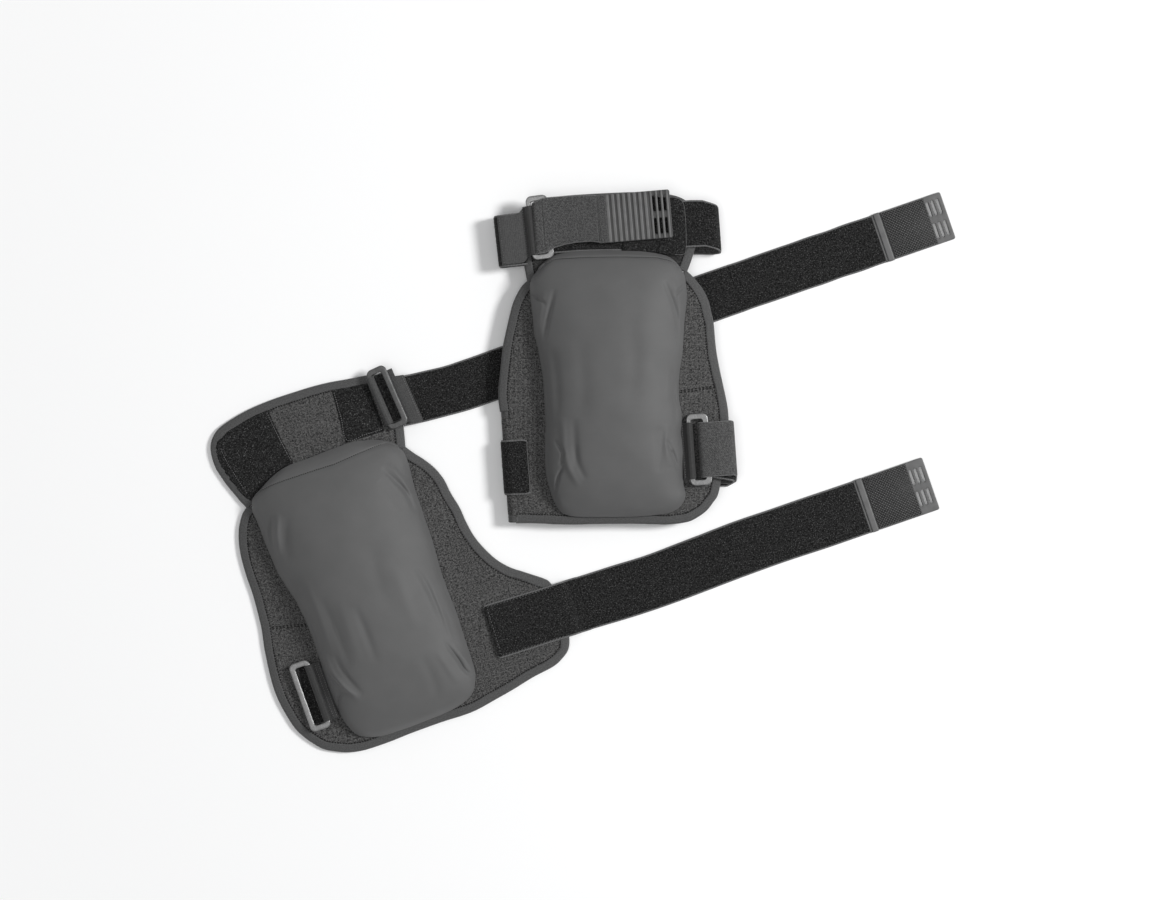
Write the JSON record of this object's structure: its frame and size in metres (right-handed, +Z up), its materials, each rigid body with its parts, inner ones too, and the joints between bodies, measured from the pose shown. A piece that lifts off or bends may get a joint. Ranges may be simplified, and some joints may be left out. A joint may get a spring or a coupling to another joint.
{
  "type": "motorcycle knee guards",
  "caption": "Pair of soft motorcycle knee guards, one opened flat with its straps laid out and one with its straps fastened.",
  "frame": {"origin": "middle of the pair's footprint, on the surface that it lies on", "axes": "+Z up from the surface, +X the way the open guard's straps run, +Y towards the thigh end of the closed guard"},
  "size_m": [0.6768, 0.5096, 0.0533],
  "materials": {
    "spacer_mesh": "knitted spacer mesh, dark grey",
    "liner_knit": "brushed knit lining",
    "edge_tape": "knitted edge tape",
    "stretch_cover": "fine ribbed stretch cloth",
    "armour": "moulded armour shell",
    "foam": "soft closed-cell foam",
    "pile": "black loop pile",
    "webbing": "woven webbing",
    "ring_metal": "dark grey coated steel",
    "strap_elastic": "elastic strap, black pile outside, grey knit inside",
    "hook_tape": "moulded hooks",
    "moulded": "grey moulded rubber-like plastic"
  },
  "bodies": {
    "open_upper_ring_body": {"open_upper_ring": "ring_metal"},
    "open_lower_ring_body": {"open_lower_ring": "ring_metal"},
    "open_upper_strap_body": {"open_upper_strap_end": "strap_elastic"},
    "open_upper_tab_body": {"open_upper_bar": "moulded", "open_upper_grip": "moulded", "open_upper_hook_tape": "hook_tape"},
    "open_lower_strap_body": {"open_lower_strap_end": "strap_elastic"},
    "open_lower_tab_body": {"open_lower_bar": "moulded", "open_lower_grip": "moulded", "open_lower_hook_tape": "hook_tape"},
    "closed_upper_tail_body": {"closed_upper_strap_tail": "strap_elastic"},
    "closed_upper_tab_body": {"closed_upper_bar": "moulded", "closed_upper_grip": "moulded", "closed_upper_hook_tape": "hook_tape"},
    "closed_guard_body": {"closed_armour_shell": "armour", "closed_body_binding": "edge_tape", "closed_body_liner": "liner_knit", "closed_body_panel": "spacer_mesh", "closed_cuff_binding": "edge_tape", "closed_cuff_hook_patch": "pile", "closed_cuff_liner": "liner_knit", "closed_cuff_loop_patch": "pile", "closed_cuff_panel": "spacer_mesh", "closed_lower_bar": "moulded", "closed_lower_grip": "moulded", "closed_lower_hook_tape": "hook_tape", "closed_lower_ring": "ring_metal", "closed_lower_ring_keeper": "webbing", "closed_lower_strap": "strap_elastic", "closed_pad_cover": "stretch_cover", "closed_pad_foam": "foam", "closed_pad_gusset": "stretch_cover", "closed_upper_ring": "ring_metal", "closed_upper_ring_keeper": "webbing", "closed_upper_strap": "strap_elastic", "closed_upper_strap_root": "strap_elastic", "closed_wing": "spacer_mesh"},
    "root": {"open_armour_shell": "armour", "open_body_binding": "edge_tape", "open_body_liner": "liner_knit", "open_body_panel": "spacer_mesh", "open_cuff_binding": "edge_tape", "open_cuff_hook_patch": "pile", "open_cuff_liner": "liner_knit", "open_cuff_loop_patch": "pile", "open_cuff_panel": "spacer_mesh", "open_lower_ring_keeper": "webbing", "open_lower_strap_root": "strap_elastic", "open_pad_cover": "stretch_cover", "open_pad_foam": "foam", "open_pad_gusset": "stretch_cover", "open_upper_ring_keeper": "webbing", "open_upper_strap_root": "strap_elastic"}
  },
  "joints": [
    {"name": "open_upper_ring_flip", "type": "hinge", "parent": "root", "child": "open_upper_ring_body", "pos_m": [-0.1844, 0.06452, 0.0112], "axis": [0.4019, -0.9157, 0], "range_deg": [0, 140]},
    {"name": "open_lower_ring_flip", "type": "hinge", "parent": "root", "child": "open_lower_ring_body", "pos_m": [-0.24012, -0.19992, 0.0129], "axis": [-0.3371, 0.9415, 0], "range_deg": [0, 105]},
    {"name": "open_upper_strap_lift", "type": "hinge", "parent": "root", "child": "open_upper_strap_body", "pos_m": [0.13748, 0.16662, 0.00225], "axis": [0.2706, -0.9627, 0], "range_deg": [0, 85]},
    {"name": "open_upper_tab_bend", "type": "hinge", "parent": "open_upper_strap_body", "child": "open_upper_tab_body", "pos_m": [0.26821, 0.21179, 0.00225], "axis": [0.3266, -0.9452, 0], "range_deg": [0, 70]},
    {"name": "open_lower_strap_lift", "type": "hinge", "parent": "root", "child": "open_lower_strap_body", "pos_m": [0.00043, -0.11932, 0.00225], "axis": [0.2957, -0.9553, 0], "range_deg": [0, 85]},
    {"name": "open_lower_tab_bend", "type": "hinge", "parent": "open_lower_strap_body", "child": "open_lower_tab_body", "pos_m": [0.25286, -0.03185, 0.00225], "axis": [0.3279, -0.9447, 0], "range_deg": [0, 70]},
    {"name": "closed_guard_lift", "type": "slide", "parent": "root", "child": "closed_guard_body", "axis": [0, 0, 1], "range_m": [0, 0.3]},
    {"name": "closed_upper_strap_peel", "type": "hinge", "parent": "closed_guard_body", "child": "closed_upper_tail_body", "pos_m": [-0.03642, 0.22163, 0.02689], "axis": [0.0523, -0.9986, 0], "range_deg": [0, 110]},
    {"name": "closed_upper_tab_bend", "type": "hinge", "parent": "closed_upper_tail_body", "child": "closed_upper_tab_body", "pos_m": [0.01256, 0.2242, 0.03069], "axis": [0.0523, -0.9986, 0], "range_deg": [0, 70]}
  ]
}
